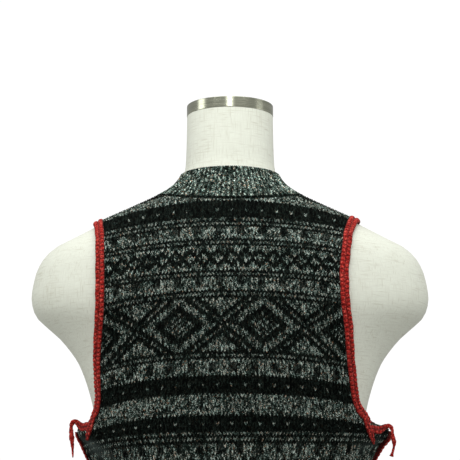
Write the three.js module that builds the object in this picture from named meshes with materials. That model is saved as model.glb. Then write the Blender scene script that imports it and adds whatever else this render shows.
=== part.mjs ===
// A Fair Isle sweater vest worn by a limbless dress form.
// Millimetres, +Z up. The origin is the centre of the form's flat base.
// The back of the vest faces -Y and its front faces +Y.

import * as THREE from 'three';
import { mergeVertices } from 'three/addons/utils/BufferGeometryUtils.js';

// ---- Driving dimensions ----

const NECK_TOP = 786.7;
const CAP_HEIGHT = 13;
const CAP_RADIUS = 52.6;
const CAP_EDGE = 1;
const SEAM_GAP = 0.3;
const EDGING_GAP = 0.6;
const EDGING_SOFTNESS = 0.3;

const CLOTH_CLEARANCE = 2.2;
const KNIT_WALL = 2.4;
const RIB_WALL = 2.8;
const TRIM_WIDTH = 9;
const TRIM_WALL = 3.8;
const TRIM_INSET = 0.2;
const SIDE_TRIM_WIDTH = 9;
const SIDE_TRIM_WALL = 3;
const SIDE_TRIM_TOP_GAP = 1.5;

const HEM_Z = 75;
const HEM_RIB_HEIGHT = 60;
const UNDERARM_Z = 404;
const YOKE_Z = 622;
const SHOULDER_POINT_Z_LEFT = 652;
const SHOULDER_POINT_Z_RIGHT = 655.5;
const NECK_POINT_Z = 682;
const NECK_BACK_Z = 665;
const NECK_FRONT_Z = 626;
const BAND_TOP_BACK_Z = 710;
const BAND_TOP_FRONT_Z = 668;
const WING_DEPTH = 62;

const TIE_DIAMETER = 5;
const TIE_SIDES = 8;
const TIE_STEPS = 26;

const COLUMNS = 24;
const NECK_FINENESS = 400;
const BISECTIONS = 40;
const NUDGE = 0.5;
const MERGE_DISTANCE = 1e-4;
const NECK_COLUMNS = 16;
const TOP_ROWS = 6;
const BAND_ROWS = 3;
const FORM_SEGMENTS = 48;
const FORM_ROW_HEIGHT = 24;
const CAP_SEGMENTS = 48;

// The form's half width at each height, from its base to the top of its neck.
const OUTLINE = [
  { z: 0, half: 159 },
  { z: 6, half: 163 },
  { z: 40, half: 166 },
  { z: 100, half: 161 },
  { z: 160, half: 149 },
  { z: 220, half: 136 },
  { z: 270, half: 130 },
  { z: 320, half: 136 },
  { z: 371, half: 147 },
  { z: 404, half: 157 },
  { z: 440, half: 165 },
  { z: 480, half: 179 },
  { z: 510, half: 200 },
  { z: 532, half: 224 },
  { z: 542, half: 233.5 },
  { z: 561, half: 238 },
  { z: 588, half: 234 },
  { z: 605, half: 227 },
  { z: 620, half: 214 },
  { z: 634, half: 188 },
  { z: 651, half: 155 },
  { z: 665, half: 124 },
  { z: 680, half: 92 },
  { z: 689, half: 76 },
  { z: 698, half: 65 },
  { z: 710, half: 57 },
  { z: 726, half: 53.8 },
  { z: 760, half: 52.6 },
  { z: NECK_TOP, half: 52.3 },
];

// How far the form reaches back and forward at each height, and how square it is.
const DEPTH = [
  { z: 0, back: 99, front: 98, power: 2.4 },
  { z: 6, back: 103, front: 102, power: 2.4 },
  { z: 40, back: 106, front: 105, power: 2.4 },
  { z: 160, back: 94, front: 103, power: 2.35 },
  { z: 270, back: 83, front: 96, power: 2.3 },
  { z: 371, back: 97, front: 107, power: 2.35 },
  { z: 459, back: 106, front: 119, power: 2.3 },
  { z: 548, back: 108, front: 118, power: 2.1 },
  { z: 597, back: 103, front: 109, power: 2.05 },
  { z: 634, back: 93, front: 95, power: 2 },
  { z: 665, back: 79, front: 77, power: 2 },
  { z: 689, back: 66, front: 63, power: 2 },
  { z: 710, back: 56, front: 56, power: 2 },
  { z: 726, back: 53.5, front: 53.5, power: 2 },
  { z: NECK_TOP, back: 52.3, front: 52.3, power: 2 },
];

// How far the vest hangs clear of the form, beyond its clearance.
const EASE = [
  { z: HEM_Z, side: 5, back: 6, front: 7 },
  { z: 160, side: 8, back: 12, front: 9 },
  { z: 245, side: 14, back: 17, front: 12 },
  { z: 320, side: 8, back: 10, front: 7 },
  { z: 371, side: 2, back: 3, front: 3 },
  { z: 440, side: 0, back: 0, front: 0 },
];

// How far the side seam stands out under each arm, where the cloth is loose.
const WING = [
  { z: 300, left: 0, right: 0 },
  { z: 345, left: 5.5, right: 6 },
  { z: 371, left: 12.5, right: 15 },
  { z: 388, left: 16.5, right: 22.5 },
  { z: 398, left: 18.5, right: 27 },
  { z: 408, left: 17, right: 24.5 },
  { z: 420, left: 5, right: 7 },
  { z: 440, left: 0, right: 0 },
];

// Each panel's armhole edge, from the corner under the arm up to the yoke.
const ARMHOLE = [
  { z: 405.5, left: 173, right: 178.5 },
  { z: 408, left: 165, right: 166 },
  { z: 411, left: 157.5, right: 155.5 },
  { z: 415, left: 153, right: 149 },
  { z: 421, left: 150, right: 144.5 },
  { z: 435, left: 148, right: 139.5 },
  { z: 455, left: 148.5, right: 137 },
  { z: 480, left: 149.3, right: 134.2 },
  { z: 510, left: 147.7, right: 132.5 },
  { z: 545, left: 146, right: 128.5 },
  { z: 575, left: 146.3, right: 127.5 },
  { z: 600, left: 146.8, right: 130 },
  { z: YOKE_Z, left: 148, right: 133 },
];

const LOWER_ROWS = [165, 195, 225, 255, 285, 315, 345, 371, 388, 398];

// The ties run from the corner of the armhole edging, over it and down.
const TIE_LEFT = [
  { x: -180.1, y: -14.5, z: 411 },
  { x: -184, y: -16, z: 412.5 },
  { x: -187, y: -17, z: 408 },
  { x: -187.2, y: -18, z: 401 },
  { x: -186.4, y: -18, z: 392 },
  { x: -185.3, y: -18, z: 381 },
  { x: -184.8, y: -18, z: 369.5 },
];

const TIE_RIGHT = [
  { x: 182.6, y: -21.5, z: 405.5 },
  { x: 187.6, y: -23.5, z: 406 },
  { x: 190.6, y: -25, z: 401.5 },
  { x: 191.2, y: -25, z: 394 },
  { x: 192.8, y: -25, z: 386 },
  { x: 191.8, y: -25, z: 378.5 },
  { x: 189.3, y: -25, z: 370 },
];

// ---- Materials ----

const knit = { color: 0x3a403d, roughness: 0.95, metalness: 0 };
const rib = { color: 0x4e5853, roughness: 0.95, metalness: 0 };
const redWool = { color: 0xa02018, roughness: 0.9, metalness: 0 };
const linen = { color: 0xe6e8da, roughness: 0.85, metalness: 0 };
const steel = { color: 0x9a9c96, roughness: 0.3, metalness: 1 };

// ---- Tables and sections ----

// The value of a column between a table's rows, on a curve that never overshoots them.
function lookUp(table, key, z) {
  const last = table.length - 1;
  const at = THREE.MathUtils.clamp(z, table[0].z, table[last].z);
  const next = Math.max(1, table.findIndex((row) => row.z >= at));
  const slopes = [next - 1, next].map((k) => slopeAt(table, key, k));
  const low = table[next - 1];
  const high = table[next];
  const span = high.z - low.z;
  const t = (at - low.z) / span;
  const rise = t * t * (3 - 2 * t);
  const lead = t * (1 - t) * (1 - t) * slopes[0] - t * t * (1 - t) * slopes[1];
  return low[key] * (1 - rise) + high[key] * rise + lead * span;
}

function slopeAt(table, key, k) {
  if (k === 0 || k === table.length - 1) return 0;
  const before = (table[k][key] - table[k - 1][key]) / (table[k].z - table[k - 1].z);
  const after = (table[k + 1][key] - table[k][key]) / (table[k + 1].z - table[k].z);
  return before * after > 0 ? (2 * before * after) / (before + after) : 0;
}

// A horizontal section: its half widths, depths and squareness.
function formSection(z) {
  const half = lookUp(OUTLINE, 'half', z);
  return {
    left: half,
    right: half,
    back: lookUp(DEPTH, 'back', z),
    front: lookUp(DEPTH, 'front', z),
    power: lookUp(DEPTH, 'power', z),
    wing: { left: 0, right: 0 },
  };
}

function vestSection(z) {
  const section = formSection(z);
  section.left += lookUp(EASE, 'side', z);
  section.right += lookUp(EASE, 'side', z);
  section.back += lookUp(EASE, 'back', z);
  section.front += lookUp(EASE, 'front', z);
  section.wing = { left: lookUp(WING, 'left', z), right: lookUp(WING, 'right', z) };
  return section;
}

// The point of a section at an angle: 0 is the middle of the back, 90 the right side,
// 180 the middle of the front and -90 the left side.
function onSection(section, degrees, z) {
  const angle = THREE.MathUtils.degToRad(degrees);
  const side = Math.sin(angle);
  const fore = -Math.cos(angle);
  const bend = 2 / section.power;
  const half = side < 0 ? section.left : section.right;
  const depth = fore < 0 ? section.back : section.front;
  const y = Math.sign(fore) * depth * Math.abs(fore) ** bend;
  const x = Math.sign(side) * (half * Math.abs(side) ** bend + wingAt(section, side, y));
  return new THREE.Vector3(x, y, z);
}

// How far the loose cloth under an arm stands out at a given depth.
function wingAt(section, side, y) {
  const wing = side < 0 ? section.wing.left : section.wing.right;
  return wing * Math.cos((Math.PI / 2) * Math.min(1, Math.abs(y) / WING_DEPTH)) ** 2;
}

// This is 1 on the vest's own surface, less inside it and more outside it.
function fullness(x, y, z) {
  const section = vestSection(z);
  const half = x < 0 ? section.left : section.right;
  const depth = y < 0 ? section.back : section.front;
  const across = Math.max(0, Math.abs(x) - wingAt(section, x, y)) / half;
  return across ** section.power + (Math.abs(y) / depth) ** section.power;
}

// The direction straight out of the vest's surface.
function outwardAt({ x, y, z }) {
  return new THREE.Vector3(
    fullness(x + NUDGE, y, z) - fullness(x - NUDGE, y, z),
    fullness(x, y + NUDGE, z) - fullness(x, y - NUDGE, z),
    fullness(x, y, z + NUDGE) - fullness(x, y, z - NUDGE),
  ).normalize();
}

// The angle, from 0 to 90, at which a side of the vest reaches a given x or depth.
function angleWhere(z, sign, reached) {
  const section = vestSection(z);
  let low = 0;
  let high = 90;
  for (let k = 0; k < BISECTIONS; k += 1) {
    const middle = (low + high) / 2;
    if (reached(onSection(section, sign * middle, z))) high = middle;
    else low = middle;
  }
  return (low + high) / 2;
}

// ---- Geometry from rows of points ----

function raised(rows, distance) {
  return rows.map((row) => row.map((p) => p.clone().addScaledVector(outwardAt(p), distance)));
}

// A mesh of triangles that close on themselves, turned so that they face outwards.
function meshOf(triangles) {
  const product = new THREE.Vector3();
  const volume = triangles.reduce((sum, [a, b, c]) => sum + product.crossVectors(b, c).dot(a), 0);
  const facing = volume < 0 ? triangles.map(([a, b, c]) => [a, c, b]) : triangles;
  const geometry = new THREE.BufferGeometry();
  const positions = facing.flat().flatMap((p) => [p.x, p.y, p.z]);
  geometry.setAttribute('position', new THREE.Float32BufferAttribute(positions, 3));
  const merged = mergeVertices(geometry, MERGE_DISTANCE);
  merged.computeVertexNormals();
  return merged;
}

// Two triangles for each cell of a grid of points, seen from the side its normals point to.
function cells(rows, wraps, turned) {
  const made = [];
  const count = rows[0].length - (wraps ? 0 : 1);
  for (let i = 0; i < rows.length - 1; i += 1) {
    for (let j = 0; j < count; j += 1) {
      const next = (j + 1) % rows[i].length;
      const [a, b, c, d] = [rows[i][j], rows[i][next], rows[i + 1][next], rows[i + 1][j]];
      made.push(...(turned ? [[a, c, b], [a, d, c]] : [[a, b, c], [a, c, d]]));
    }
  }
  return made;
}

// A closed wall of cloth between an inner and an outer grid of points.
function wall(inner, outer, wraps) {
  const column = (rows, j) => rows.map((row) => row[j]);
  const last = outer.length - 1;
  const end = outer[0].length - 1;
  const triangles = [...cells(outer, wraps, false), ...cells(inner, wraps, true)];
  triangles.push(...cells([inner[0], outer[0]], wraps, false));
  triangles.push(...cells([inner[last], outer[last]], wraps, true));
  if (!wraps) {
    triangles.push(...cells([column(inner, 0), column(outer, 0)], false, true));
    triangles.push(...cells([column(inner, end), column(outer, end)], false, false));
  }
  return meshOf(triangles);
}

// A solid through rings of points, closed by a lid at each end or on itself.
function loft(rings, closed) {
  const rows = closed ? [...rings, rings[0]] : rings;
  const triangles = cells(rows, true, false);
  if (!closed) {
    triangles.push(...lid(rings[0], true), ...lid(rings[rings.length - 1], false));
  }
  return meshOf(triangles);
}

function lid(ring, turned) {
  const centre = ring.reduce((sum, p) => sum.add(p), new THREE.Vector3()).divideScalar(ring.length);
  return ring.map((p, j) => {
    const next = ring[(j + 1) % ring.length];
    return turned ? [centre, next, p] : [centre, p, next];
  });
}

// ---- The dress form ----

function formGeometry() {
  const heights = OUTLINE.flatMap((row, k) => {
    const above = OUTLINE[k + 1];
    return above && above.z - row.z > FORM_ROW_HEIGHT ? [row.z, (row.z + above.z) / 2] : [row.z];
  });
  return loft(heights.map((z) => {
    const section = formSection(z);
    return Array.from({ length: FORM_SEGMENTS }, (_, j) => (
      onSection(section, (360 * j) / FORM_SEGMENTS, z)
    ));
  }), false);
}

function capGeometry() {
  const low = NECK_TOP + SEAM_GAP;
  const high = low + CAP_HEIGHT;
  const profile = [
    new THREE.Vector2(0, low),
    new THREE.Vector2(CAP_RADIUS, low),
    new THREE.Vector2(CAP_RADIUS, high - CAP_EDGE),
    new THREE.Vector2(CAP_RADIUS - CAP_EDGE, high),
    new THREE.Vector2(0, high),
  ];
  const geometry = new THREE.LatheGeometry(profile, CAP_SEGMENTS);
  geometry.rotateX(Math.PI / 2);
  geometry.deleteAttribute('normal');
  geometry.deleteAttribute('uv');
  return mergeVertices(geometry, MERGE_DISTANCE);
}

// ---- The vest's panels ----

// The point of the vest at a given side to side place and height.
function onPanel(x, z, isFront) {
  const section = vestSection(z);
  const part = Math.min(1, Math.abs(x) / section.right);
  const depth = isFront ? section.front : -section.back;
  return new THREE.Vector3(x, depth * (1 - part ** section.power) ** (1 / section.power), z);
}

// The point of a section in the direction of a given point.
function inDirection(section, { x, y }, z) {
  const depth = y < 0 ? section.back : section.front;
  const reach = (Math.abs(x) / section.right) ** section.power + (Math.abs(y) / depth) ** section.power;
  const scale = reach ** (-1 / section.power);
  return new THREE.Vector3(x * scale, y * scale, z);
}

// A point of the seam between a panel and the neckband: 0 is its middle, -1 and 1 its ends.
function neckCurve(share, isFront) {
  const angle = (share * Math.PI) / 2;
  const middleZ = isFront ? NECK_FRONT_Z : NECK_BACK_Z;
  const z = NECK_POINT_Z - (NECK_POINT_Z - middleZ) * Math.cos(angle);
  return onPanel(vestSection(NECK_POINT_Z).right * Math.sin(angle), z, isFront);
}

// The neck seam's points from left to right, evenly spaced along it.
function neckSeam(isFront) {
  const fine = Array.from({ length: NECK_FINENESS + 1 }, (_, k) => (
    neckCurve((2 * k) / NECK_FINENESS - 1, isFront)
  ));
  const along = [0];
  fine.slice(1).forEach((p, k) => along.push(along[k] + p.distanceTo(fine[k])));
  return Array.from({ length: NECK_COLUMNS + 1 }, (_, k) => {
    const target = (along[NECK_FINENESS] * k) / NECK_COLUMNS;
    const next = Math.max(1, along.findIndex((length) => length >= target - 1e-9));
    const part = (target - along[next - 1]) / (along[next] - along[next - 1]);
    const share = (2 * (next - 1 + part)) / NECK_FINENESS - 1;
    return neckCurve(share, isFront);
  });
}

// The height at which the vest's surface has a given side to side place and depth.
function heightWhere(x, y) {
  let low = UNDERARM_Z;
  let high = BAND_TOP_BACK_Z;
  for (let k = 0; k < BISECTIONS; k += 1) {
    const middle = (low + high) / 2;
    if (Math.abs(onPanel(x, middle, y > 0).y) > Math.abs(y)) low = middle;
    else high = middle;
  }
  return (low + high) / 2;
}

// A panel is worked out as angles from its own middle; the front is turned to the other side.
function faced(degrees, isFront) {
  return isFront ? 180 - degrees : degrees;
}

function sideEdge(z, sign) {
  const half = SIDE_TRIM_WIDTH / 2 + SEAM_GAP;
  return angleWhere(z, sign, (p) => Math.abs(p.y) < half);
}

function armholeEdge(z, sign) {
  const reach = lookUp(ARMHOLE, sign < 0 ? 'left' : 'right', z);
  return angleWhere(z, sign, (p) => Math.abs(p.x) > reach);
}

// One row of a panel from its left edge to its right edge, at one height.
function levelRow(z, edge, isFront) {
  const left = -edge(z, -1);
  const right = edge(z, 1);
  const section = vestSection(z);
  return Array.from({ length: COLUMNS + 1 }, (_, j) => (
    onSection(section, faced(THREE.MathUtils.lerp(left, right, j / COLUMNS), isFront), z)
  ));
}

// The top of a panel: a shoulder seam, the neck seam and the other shoulder seam.
function topRow(isFront) {
  const seam = neckSeam(isFront);
  const shoulder = (COLUMNS - NECK_COLUMNS) / 2;
  return Array.from({ length: COLUMNS + 1 }, (_, j) => {
    const fromEnd = Math.min(j, COLUMNS - j);
    if (fromEnd > shoulder) return seam[j - shoulder];
    const sign = j < COLUMNS / 2 ? -1 : 1;
    const end = sign < 0 ? SHOULDER_POINT_Z_LEFT : SHOULDER_POINT_Z_RIGHT;
    const z = THREE.MathUtils.lerp(end, NECK_POINT_Z, fromEnd / shoulder);
    return new THREE.Vector3(sign * vestSection(z).right, 0, z);
  });
}

// The rows between the yoke and the top follow the cloth as it rounds over the shoulder.
function yokeRows(yoke, top) {
  const rows = [];
  for (let k = 1; k < TOP_ROWS; k += 1) {
    const share = k / TOP_ROWS;
    const across = 1 - (1 - share) ** 2;
    rows.push(yoke.map((low, j) => {
      const x = THREE.MathUtils.lerp(low.x, top[j].x, across);
      const y = THREE.MathUtils.lerp(low.y, top[j].y, share);
      return new THREE.Vector3(x, y, heightWhere(x, y));
    }));
  }
  return rows;
}

function panelRows(isFront) {
  const lower = [HEM_Z + HEM_RIB_HEIGHT, ...LOWER_ROWS];
  const rows = lower.map((z) => levelRow(z, sideEdge, isFront));
  rows.push(levelRow(UNDERARM_Z, sideEdge, isFront));
  ARMHOLE.forEach(({ z }) => rows.push(levelRow(z, armholeEdge, isFront)));
  const top = topRow(isFront);
  return [...rows, ...yokeRows(rows[rows.length - 1], top), top];
}

// A wall of cloth that lies just clear of the form.
function clothWall(rows, thickness, wraps) {
  const walls = [CLOTH_CLEARANCE, CLOTH_CLEARANCE + thickness].map((out) => raised(rows, out));
  return wall(walls[0], walls[1], wraps);
}

// A panel stops half a gap short of the shoulder's ridge. The front's rows are turned so
// that both panels go the same way round.
function panel(rows, isFront) {
  const half = isFront ? SEAM_GAP / 2 : -SEAM_GAP / 2;
  const parted = rows.map((row) => row.map((p) => p.clone().setY(p.y || half)));
  return clothWall(isFront ? parted.map((row) => row.reverse()) : parted, KNIT_WALL, false);
}

function hemRib(isFront) {
  const heights = [0, 0.5, 1].map((share) => HEM_Z + share * (HEM_RIB_HEIGHT - SEAM_GAP));
  return clothWall(heights.map((z) => levelRow(z, sideEdge, isFront)), RIB_WALL, false);
}

// ---- The neckband ----

function neckBand() {
  const around = [...neckSeam(false).slice(0, -1), ...neckSeam(true).reverse().slice(0, -1)];
  const rows = Array.from({ length: BAND_ROWS + 1 }, (_, k) => around.map((low, j) => {
    const turn = Math.abs((2 * j) / around.length - 0.5);
    const fall = (1 - Math.cos(Math.min(turn, 2 - turn) * Math.PI)) / 2;
    const topZ = THREE.MathUtils.lerp(BAND_TOP_BACK_Z, BAND_TOP_FRONT_Z, fall ** 2);
    const z = THREE.MathUtils.lerp(low.z, topZ, k / BAND_ROWS);
    return inDirection(vestSection(z), low, z);
  }));
  rows[0] = around.map((low, j) => {
    const up = new THREE.Vector3().subVectors(rows[1][j], low).normalize();
    return low.clone().addScaledVector(up, EDGING_GAP);
  });
  return clothWall(rows, RIB_WALL, true);
}

// ---- The red edgings ----

// A flat band's rings: each lies from its inner edge outwards along its side direction.
function bandRings(stations, width, low, high) {
  const soft = (high - low) * EDGING_SOFTNESS;
  const section = [
    [0, low],
    [width * 0.5, low - soft * EDGING_SOFTNESS],
    [width, low + soft],
    [width, high - soft],
    [width * 0.75, high],
    [width * 0.5, high - soft * 0.5],
    [width * 0.25, high],
    [0, high - soft],
  ];
  return stations.map(({ point, side, normal }) => section.map(([s, n]) => (
    point.clone().addScaledVector(side, s).addScaledVector(normal, n)
  )));
}

function armholeTrim(back, front, isLeft) {
  const first = LOWER_ROWS.length + 1;
  const edgeOf = (rows) => rows.slice(first).map((row) => (isLeft ? row : [...row].reverse()));
  const loop = [...edgeOf(back), ...edgeOf(front).reverse().slice(1)];
  const stations = loop.map((row, k) => {
    const [before] = loop[(k + loop.length - 1) % loop.length];
    const [after] = loop[(k + 1) % loop.length];
    const along = new THREE.Vector3().subVectors(after, before).normalize();
    const normal = outwardAt(row[0]);
    const side = along.cross(normal).normalize();
    if (side.dot(new THREE.Vector3().subVectors(row[0], row[1])) < 0) side.negate();
    return { point: row[0].clone().addScaledVector(side, EDGING_GAP), side, normal };
  });
  const low = CLOTH_CLEARANCE - TRIM_INSET;
  return loft(bandRings(stations, TRIM_WIDTH, low, low + TRIM_WALL), true);
}

function sideTrim(isLeft) {
  const sign = isLeft ? -1 : 1;
  const top = UNDERARM_Z - SIDE_TRIM_TOP_GAP;
  const heights = [HEM_Z, HEM_Z + HEM_RIB_HEIGHT / 2, HEM_Z + HEM_RIB_HEIGHT, ...LOWER_ROWS, top];
  const stations = heights.map((z, k) => {
    const point = onSection(vestSection(z), sign * 90, z);
    const under = heights[Math.max(k - 1, 0)];
    const over = heights[Math.min(k + 1, heights.length - 1)];
    const along = new THREE.Vector3().subVectors(
      onSection(vestSection(over), sign * 90, over),
      onSection(vestSection(under), sign * 90, under),
    );
    const side = new THREE.Vector3(0, 1, 0);
    const normal = side.clone().cross(along).normalize();
    if (normal.x * sign < 0) normal.negate();
    point.setY(-SIDE_TRIM_WIDTH / 2);
    return { point, side, normal };
  });
  const high = CLOTH_CLEARANCE + SIDE_TRIM_WALL;
  return loft(bandRings(stations, SIDE_TRIM_WIDTH, CLOTH_CLEARANCE, high), false);
}

function tieGeometry(route) {
  const radius = TIE_DIAMETER / 2;
  const section = new THREE.Shape(Array.from({ length: TIE_SIDES }, (_, k) => {
    const angle = (2 * Math.PI * k) / TIE_SIDES;
    return new THREE.Vector2(radius * Math.cos(angle), radius * Math.sin(angle));
  }));
  const path = new THREE.CatmullRomCurve3(route.map((p) => new THREE.Vector3(p.x, p.y, p.z)));
  const geometry = new THREE.ExtrudeGeometry(section, { steps: TIE_STEPS, extrudePath: path });
  geometry.deleteAttribute('normal');
  geometry.deleteAttribute('uv');
  return mergeVertices(geometry, MERGE_DISTANCE);
}

// ---- Assembly ----

const object = new THREE.Group();

function add(name, geometry, finish) {
  const mesh = new THREE.Mesh(geometry, new THREE.MeshStandardMaterial(finish));
  mesh.name = name;
  object.add(mesh);
}

const back = panelRows(false);
const front = panelRows(true);

add('form_body', formGeometry(), linen);
add('neck_cap', capGeometry(), steel);
add('back_panel', panel(back, false), knit);
add('front_panel', panel(front, true), knit);
add('neckband', neckBand(), rib);
add('hem_rib_back', hemRib(false), rib);
add('hem_rib_front', hemRib(true), rib);
add('armhole_trim_left', armholeTrim(back, front, true), redWool);
add('armhole_trim_right', armholeTrim(back, front, false), redWool);
add('side_trim_left', sideTrim(true), redWool);
add('side_trim_right', sideTrim(false), redWool);
add('tie_left', tieGeometry(TIE_LEFT), redWool);
add('tie_right', tieGeometry(TIE_RIGHT), redWool);

export default object;
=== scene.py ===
import math

import bpy
import numpy as np
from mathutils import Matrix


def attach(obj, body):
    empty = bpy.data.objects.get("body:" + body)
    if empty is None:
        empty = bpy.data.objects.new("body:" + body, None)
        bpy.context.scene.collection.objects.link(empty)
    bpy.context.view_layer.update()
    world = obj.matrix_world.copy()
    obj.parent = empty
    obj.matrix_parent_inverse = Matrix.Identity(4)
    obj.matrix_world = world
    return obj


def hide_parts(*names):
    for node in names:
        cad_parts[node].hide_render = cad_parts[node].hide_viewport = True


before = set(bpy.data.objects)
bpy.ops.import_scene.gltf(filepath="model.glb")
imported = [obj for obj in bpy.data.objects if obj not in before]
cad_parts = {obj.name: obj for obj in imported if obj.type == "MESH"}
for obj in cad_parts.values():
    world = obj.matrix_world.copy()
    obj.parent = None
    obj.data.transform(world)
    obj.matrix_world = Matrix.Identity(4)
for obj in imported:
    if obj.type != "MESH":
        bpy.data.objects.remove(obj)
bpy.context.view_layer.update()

bpy.ops.object.select_all(action="DESELECT")

# ---- Camera ----
# A long lens, low behind the form and tipped up a little, so that the shoulders and the
# neck are seen from below and everything under the arms is out of the frame.

CAMERA_PLACE = (0, -2.760, 0.070)
CAMERA_PITCH = 11.8
CAMERA_LENS = 182.7

bpy.ops.object.camera_add(location=CAMERA_PLACE, rotation=(math.radians(90 + CAMERA_PITCH), 0, 0))
camera = bpy.context.object
camera.data.lens = CAMERA_LENS
camera.data.sensor_width = 36
camera.data.clip_end = 50
bpy.context.scene.camera = camera
bpy.context.scene.view_settings.view_transform = "Standard"

# ---- Ties ----
# Two short ties of red wool crochet. Each goes on from the edging at the underarm, curls
# over and hangs down free, flat and fuzzy, to a worn end.

TIE_WIDTH = 5.5
TIE_THICKNESS = 3.6
TIE_RINGS = 90
TIE_SIDES = 16
CHAIN_STITCH = 4.2
LEFT_TIE_ROUTE = [
    (-180.1, -14.5, 411), (-184, -16, 412.5), (-187, -17, 408), (-187.2, -18, 401),
    (-186.4, -18, 392), (-185.3, -18, 381), (-184.8, -18, 369.5),
]
RIGHT_TIE_ROUTE = [
    (182.6, -21.5, 405.5), (187.6, -23.5, 406), (190.6, -25, 401.5), (191.2, -25, 394),
    (192.8, -25, 386), (191.8, -25, 378.5), (189.3, -25, 370),
]
# How wide each tie is at even steps along it, as a share of its full width.
LEFT_TIE_TAPER = [1.1, 1.0, 0.8, 0.9, 1.15, 0.9, 0.62, 0.45, 0.3]
RIGHT_TIE_TAPER = [1.1, 1.0, 0.75, 0.65, 1.05, 0.85, 0.5, 0.55, 0.9]


def linear(hex_colour):
    channels = [int(hex_colour[k:k + 2], 16) / 255 for k in (0, 2, 4)]
    return [c / 12.92 if c <= 0.04045 else ((c + 0.055) / 1.055) ** 2.4 for c in channels] + [1]


def add_node(tree, kind, settings=None, **inputs):
    node = tree.nodes.new(kind)
    for name, value in (settings or {}).items():
        setattr(node, name, value)
    for name, value in inputs.items():
        socket = node.inputs[int(name[1:])] if name[1:].isdigit() else node.inputs[name.replace("_", " ")]
        if isinstance(value, bpy.types.NodeSocket):
            tree.links.new(value, socket)
        else:
            socket.default_value = value
    return node


def new_material(name):
    material = bpy.data.materials.new(name)
    material.use_nodes = True
    tree = material.node_tree
    return material, tree, tree.nodes["Principled BSDF"]


def stops(ramp, colours):
    for k, (place, colour) in enumerate(colours):
        stop = ramp.color_ramp.elements[k] if k < 2 else ramp.color_ramp.elements.new(place)
        stop.position = place
        stop.color = linear(colour)


def smooth_route(points, count):
    knots = np.array(points, float)
    ends = np.vstack([2 * knots[0] - knots[1], knots, 2 * knots[-1] - knots[-2]])
    at = np.linspace(0, len(knots) - 1, count)
    k = np.minimum(at.astype(int), len(knots) - 2)
    t = (at - k)[:, None]
    a, b, c, d = ends[k], ends[k + 1], ends[k + 2], ends[k + 3]
    start = 2 * b + (c - a) * t + (2 * a - 5 * b + 4 * c - d) * t**2
    return 0.5 * (start + (3 * b - a - 3 * c + d) * t**3)


def run_length(points):
    return np.concatenate([[0], np.cumsum(np.linalg.norm(np.diff(points, axis=0), axis=1))])


def unit(vectors):
    return vectors / np.maximum(np.linalg.norm(vectors, axis=-1, keepdims=True), 1e-12)


# A piece from points in millimetres and its faces, smooth all over.
def make_piece(name, points, faces, material):
    mesh = bpy.data.meshes.new(name)
    mesh.from_pydata((np.asarray(points) * 0.001).tolist(), [], faces)
    mesh.validate()
    mesh.shade_smooth()
    mesh.materials.append(material)
    piece = bpy.data.objects.new(name, mesh)
    bpy.context.scene.collection.objects.link(piece)
    return piece


# The squares of a grid of points, row by row; the columns may close on themselves.
def grid_squares(rows, columns, wraps):
    k, j = np.meshgrid(np.arange(rows - 1), np.arange(columns if wraps else columns - 1), indexing="ij")
    low, beside = k * columns + j, k * columns + (j + 1) % columns
    return np.stack([low, low + columns, beside + columns, beside], -1).reshape(-1, 4)


# Every piece rides on the one body. It shows in place of a CAD node, which is hidden.
def stand_in(piece, node):
    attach(piece, "root")
    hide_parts(node)


# The faces of rings of points, closed by a lid at both ends or on themselves.
def ring_faces(rings, sides, closed):
    k, j = np.meshgrid(np.arange(rings if closed else rings - 1), np.arange(sides), indexing="ij")
    after, beside = (k + 1) % rings, (j + 1) % sides
    quads = np.stack([k * sides + j, k * sides + beside, after * sides + beside, after * sides + j], -1)
    faces = quads.reshape(-1, 4).tolist()
    if not closed:
        faces.append(list(range(sides))[::-1])
        faces.append([(rings - 1) * sides + n for n in range(sides)])
    return faces


def facing_out(points, faces):
    volume = sum(
        np.dot(points[f[0]], np.cross(points[f[n]], points[f[n + 1]]))
        for f in faces for n in range(1, len(f) - 1)
    )
    return faces if volume > 0 else [f[::-1] for f in faces]


# Wool dyed red and crocheted: matt, a little fuzzy, with thin and thick places in the yarn. It is darker
# down in the stitches and lighter on their tops: painted shade and painted highlight, set by the relief.
red_wool, tree, surface = new_material("red_crocheted_wool")
place = add_node(tree, "ShaderNodeTexCoord")
strands = add_node(tree, "ShaderNodeTexNoise", Vector=place.outputs["Object"], Scale=560, Detail=3)
clouds = add_node(tree, "ShaderNodeTexNoise", Vector=place.outputs["Object"], Scale=60, Detail=2)
depth = add_node(tree, "ShaderNodeAttribute", {"attribute_name": "relief"})
yarn = add_node(tree, "ShaderNodeValToRGB", Fac=strands.outputs["Fac"])
stops(yarn, [(0.32, "560806"), (0.52, "ac1b14"), (0.7, "e4685a")])
worn = add_node(tree, "ShaderNodeMapRange", Value=clouds.outputs["Fac"], To_Min=0.68, To_Max=1.2)
# Painted shade and highlight: the colour is darker low in the stitches and lighter on their tops.
sunk = add_node(tree, "ShaderNodeMapRange", Value=depth.outputs["Fac"], To_Min=0.08, To_Max=1.3)
tone_and_painted_shade = add_node(
    tree, "ShaderNodeMath", {"operation": "MULTIPLY"}, _0=worn.outputs[0], _1=sunk.outputs[0],
)
shaded = add_node(
    tree, "ShaderNodeVectorMath", {"operation": "SCALE"}, _0=yarn.outputs["Color"],
    Scale=tone_and_painted_shade.outputs[0],
)
tree.links.new(shaded.outputs[0], surface.inputs["Base Color"])
fuzz = add_node(tree, "ShaderNodeBump", Height=strands.outputs["Fac"], Strength=0.5, Distance=0.0006)
tree.links.new(fuzz.outputs["Normal"], surface.inputs["Normal"])
surface.inputs["Roughness"].default_value = 0.9
surface.inputs["Specular IOR Level"].default_value = 0.15
surface.inputs["Sheen Weight"].default_value = 0.05
surface.inputs["Sheen Roughness"].default_value = 0.6


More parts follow.
